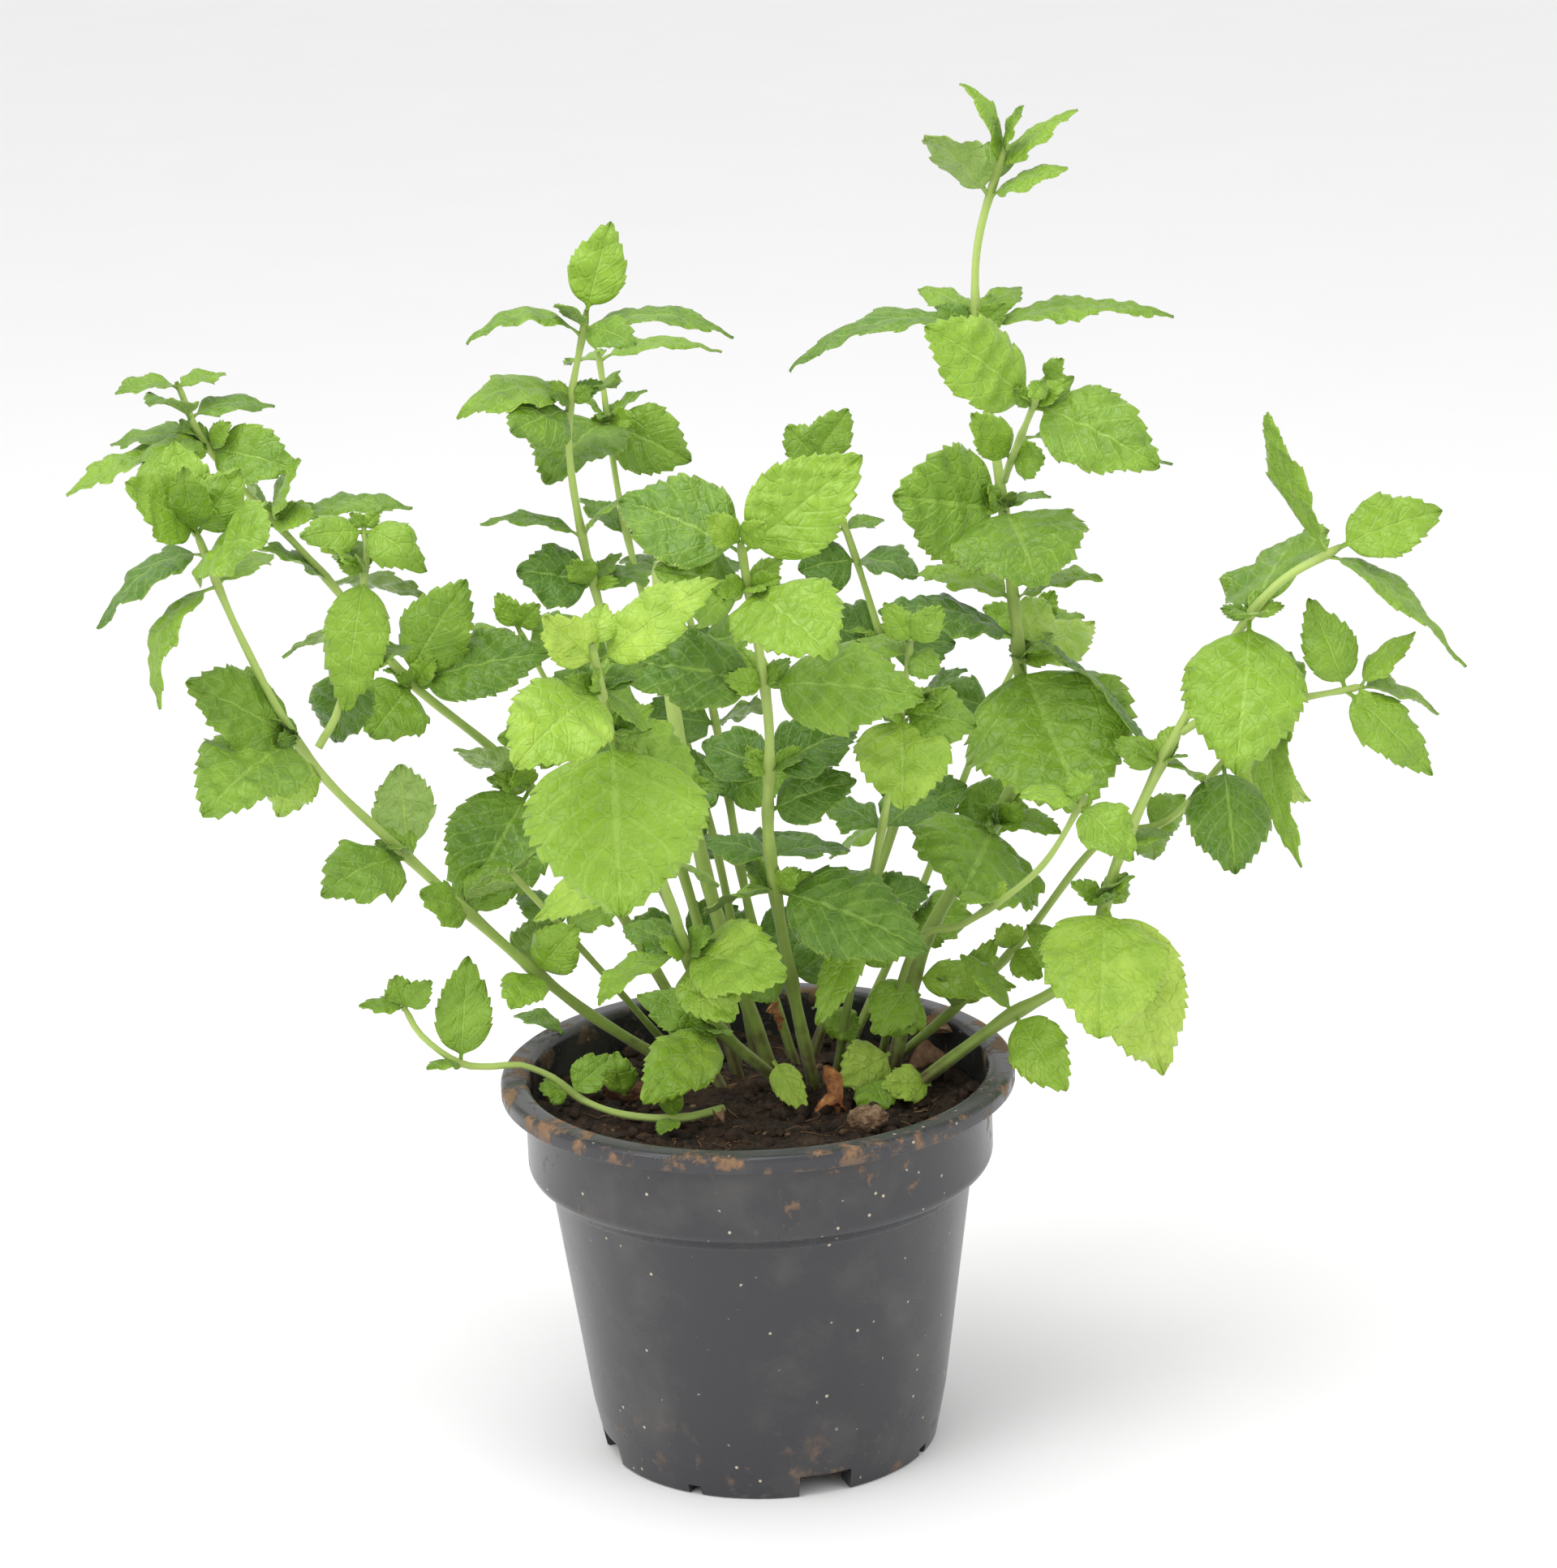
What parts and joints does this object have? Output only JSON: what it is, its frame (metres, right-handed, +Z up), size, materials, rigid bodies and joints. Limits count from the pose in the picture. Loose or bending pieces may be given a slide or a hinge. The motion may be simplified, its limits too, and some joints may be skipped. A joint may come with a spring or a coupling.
{
  "type": "potted mint plant",
  "caption": "Bushy mint plant with thin arching stems and toothed oval leaves, in a tapered round plastic nursery pot of soil.",
  "frame": {"origin": "centre of the pot's underside, on the surface it stands on", "axes": "+Z up, -Y the plant's front, +X its right"},
  "size_m": [0.3396, 0.1617, 0.341],
  "materials": {
    "pot": "satin grey-black moulded plastic, dusty, with dried soil on the rim",
    "soil": "moist dark brown peat with fibres and grit",
    "bark_tan": "rough tan bark",
    "bark_brown": "rough red-brown bark",
    "stem": "pale yellow-green downy stem, brown at the foot",
    "leaf": "yellow-green wrinkled mint leaf, soft sheen"
  },
  "bodies": {
    "root": {"bark_brown": "bark_brown", "bark_tan": "bark_tan", "leaves_back_centre_1": "leaf", "leaves_far_left_1": "leaf", "leaves_far_left_2": "leaf", "leaves_far_left_3": "leaf", "leaves_far_right_1": "leaf", "leaves_far_right_2": "leaf", "leaves_far_right_3": "leaf", "leaves_far_right_4": "leaf", "leaves_front_centre_1": "leaf", "leaves_front_centre_2": "leaf", "leaves_front_centre_3": "leaf", "leaves_front_centre_4": "leaf", "leaves_front_centre_5": "leaf", "leaves_front_left_1": "leaf", "leaves_front_left_2": "leaf", "leaves_front_left_3": "leaf", "leaves_front_left_4": "leaf", "leaves_front_left_5": "leaf", "leaves_inner_right_1": "leaf", "leaves_left_branch_1": "leaf", "leaves_right_branch_1": "leaf", "leaves_right_branch_2": "leaf", "leaves_right_low_1": "leaf", "leaves_right_side_shoot_1": "leaf", "leaves_runner_1": "leaf", "leaves_tall_left_1": "leaf", "leaves_tall_left_2": "leaf", "leaves_tall_left_3": "leaf", "leaves_tall_right_1": "leaf", "leaves_tall_right_2": "leaf", "leaves_tall_right_3": "leaf", "leaves_tall_right_4": "leaf", "leaves_tall_right_5": "leaf", "leaves_tall_right_6": "leaf", "leaves_thin_left_1": "leaf", "leaves_upper_left_1": "leaf", "leaves_upper_left_2": "leaf", "leaves_upper_left_3": "leaf", "leaves_upper_left_4": "leaf", "pot": "pot", "soil": "soil", "stem_back_centre": "stem", "stem_cut_stem": "stem", "stem_far_left": "stem", "stem_far_right": "stem", "stem_front_centre": "stem", "stem_front_left": "stem", "stem_inner_right": "stem", "stem_left_branch": "stem", "stem_low_left": "stem", "stem_right_branch": "stem", "stem_right_low": "stem", "stem_right_side_shoot": "stem", "stem_runner": "stem", "stem_tall_left": "stem", "stem_tall_right": "stem", "stem_thin_left": "stem", "stem_upper_left": "stem"}
  },
  "joints": []
}
